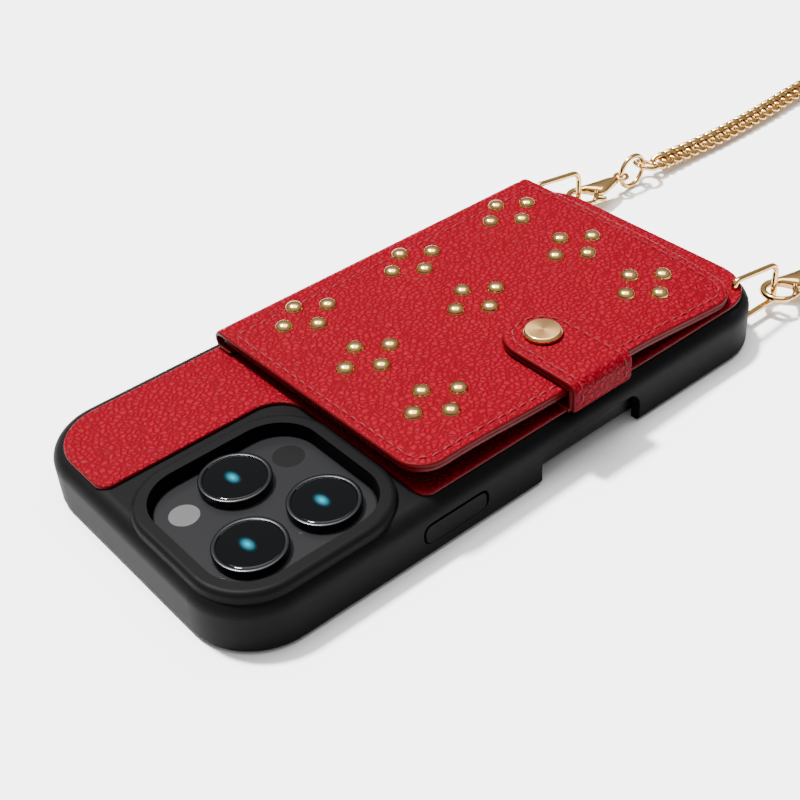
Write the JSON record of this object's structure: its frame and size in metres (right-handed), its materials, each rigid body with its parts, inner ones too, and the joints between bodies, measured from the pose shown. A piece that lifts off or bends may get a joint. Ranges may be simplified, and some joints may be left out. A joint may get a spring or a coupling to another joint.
{
  "type": "phone wallet case with strap",
  "caption": "Soft phone case with a studded leather card flap, snap tab and detachable wrist-to-shoulder chain on wire bails.",
  "frame": {"origin": "middle of the case on the plane of its front lip, which rests on a table", "axes": "+Z out of the back of the case, +Y towards the chain end, +X towards the side with the snap tab"},
  "size_m": [0.1162, 0.2899, 0.0222],
  "materials": {
    "shell_tpu": "soft-touch black moulded polyurethane, fine matte texture",
    "suede": "black microfibre",
    "red_leather": "pebbled bright red leather, satin, lacquered lighter edges",
    "lining_leather": "smooth red lining leather",
    "board": "thin stiffening board",
    "gold": "polished pale gold plating",
    "spring_steel": "fine spring wire",
    "gold_chain": "pale gold anodised, polished",
    "tie": "plain red band",
    "phone_metal": "dark satin metal",
    "black_glass": "glossy black glass",
    "lens_metal": "polished dark rings with a light rim",
    "lens_glass": "coated optical glass, blue-green reflections",
    "lamp_glass": "frosted pale diffuser"
  },
  "bodies": {
    "case": {"case_shell": "shell_tpu", "case_lining": "suede", "back_panel": "red_leather", "pocket_rear": "red_leather", "pocket_front": "red_leather", "tab_root": "red_leather", "flap_spine": "red_leather", "chain_coil": "gold_chain", "chain_far_run": "gold_chain", "chain_near_run": "gold_chain", "coil_tie": "tie", "far_clasp_body": "gold", "far_clasp_pin": "gold", "far_clasp_spring": "spring_steel", "far_jump_ring": "gold", "far_end_link": "gold", "near_clasp_body": "gold", "near_clasp_pin": "gold", "near_clasp_spring": "spring_steel", "near_jump_ring": "gold", "near_end_link": "gold"},
    "flap": {"flap_lining": "lining_leather", "flap_board": "board", "flap_leather": "red_leather", "dome_studs": "gold", "snap_post": "gold"},
    "tab": {"tab_leather": "red_leather", "tab_lining": "lining_leather", "snap_cap": "gold", "snap_socket": "gold"},
    "phone": {"phone_frame": "phone_metal", "phone_back_glass": "black_glass", "phone_screen": "black_glass", "touch_control": "phone_metal", "camera_plateau": "black_glass", "lamp_window": "lamp_glass", "depth_sensor": "lens_glass", "lens_top_ring": "lens_metal", "lens_top_glass": "lens_glass", "lens_bottom_ring": "lens_metal", "lens_bottom_glass": "lens_glass", "lens_middle_ring": "lens_metal", "lens_middle_glass": "lens_glass"},
    "far_bail": {"far_bail": "gold"},
    "near_bail": {"near_bail": "gold"},
    "far_lever": {"far_clasp_lever": "gold"},
    "near_lever": {"near_clasp_lever": "gold"},
    "power_cover": {"power_cover": "shell_tpu"},
    "power_key": {"power_key": "phone_metal"},
    "volume_up_cover": {"volume_up_cover": "shell_tpu"},
    "volume_up_key": {"volume_up_key": "phone_metal"},
    "volume_down_cover": {"volume_down_cover": "shell_tpu"},
    "volume_down_key": {"volume_down_key": "phone_metal"}
  },
  "joints": [
    {"name": "flap_open", "type": "hinge", "parent": "case", "child": "flap", "pos_m": [-0.0317, 0.01775, 0.0159], "axis": [0, -1, 0], "range_deg": [0, 160], "deforming": ["flap_spine"]},
    {"name": "tab_open", "type": "hinge", "parent": "case", "child": "tab", "pos_m": [0.0379, 0.0176, 0.01435], "axis": [0, 1, 0], "range_deg": [0, 110]},
    {"name": "phone_slide", "type": "slide", "parent": "case", "child": "phone", "axis": [0, 0, -1], "range_m": [0, 0.014]},
    {"name": "far_bail_swing", "type": "hinge", "parent": "case", "child": "far_bail", "pos_m": [-0.0318, 0.068, 0.0134], "axis": [0, 0.4229, -0.9062], "range_deg": [-4, 4]},
    {"name": "near_bail_swing", "type": "hinge", "parent": "case", "child": "near_bail", "pos_m": [0.0318, 0.068, 0.0134], "axis": [0, 0.4229, -0.9062], "range_deg": [-4, 4]},
    {"name": "far_lever_press", "type": "hinge", "parent": "case", "child": "far_lever", "pos_m": [-0.02997, 0.08854, 0.0049], "axis": [0, 0, -1], "range_deg": [0, 30], "stiffness_Nm_per_rad": 0.0003, "springref_deg": -17.19},
    {"name": "near_lever_press", "type": "hinge", "parent": "case", "child": "near_lever", "pos_m": [0.03423, 0.08854, 0.0049], "axis": [0, 0, -1], "range_deg": [0, 30], "stiffness_Nm_per_rad": 0.0003, "springref_deg": -17.19},
    {"name": "power_cover_press", "type": "slide", "parent": "case", "child": "power_cover", "axis": [-1, 0, 0], "range_m": [0, 0.0004], "stiffness_N_per_m": 300},
    {"name": "power_key_press", "type": "slide", "parent": "phone", "child": "power_key", "axis": [-1, 0, 0], "range_m": [0, 0.0004], "stiffness_N_per_m": 200},
    {"name": "volume_up_cover_press", "type": "slide", "parent": "case", "child": "volume_up_cover", "axis": [1, 0, 0], "range_m": [0, 0.0004], "stiffness_N_per_m": 300},
    {"name": "volume_up_key_press", "type": "slide", "parent": "phone", "child": "volume_up_key", "axis": [1, 0, 0], "range_m": [0, 0.0004], "stiffness_N_per_m": 200},
    {"name": "volume_down_cover_press", "type": "slide", "parent": "case", "child": "volume_down_cover", "axis": [1, 0, 0], "range_m": [0, 0.0004], "stiffness_N_per_m": 300},
    {"name": "volume_down_key_press", "type": "slide", "parent": "phone", "child": "volume_down_key", "axis": [1, 0, 0], "range_m": [0, 0.0004], "stiffness_N_per_m": 200}
  ],
  "couplings": [
    {"joint": "power_key_press", "follows": "power_cover_press", "ratio": 1},
    {"joint": "volume_up_key_press", "follows": "volume_up_cover_press", "ratio": 1},
    {"joint": "volume_down_key_press", "follows": "volume_down_cover_press", "ratio": 1}
  ]
}
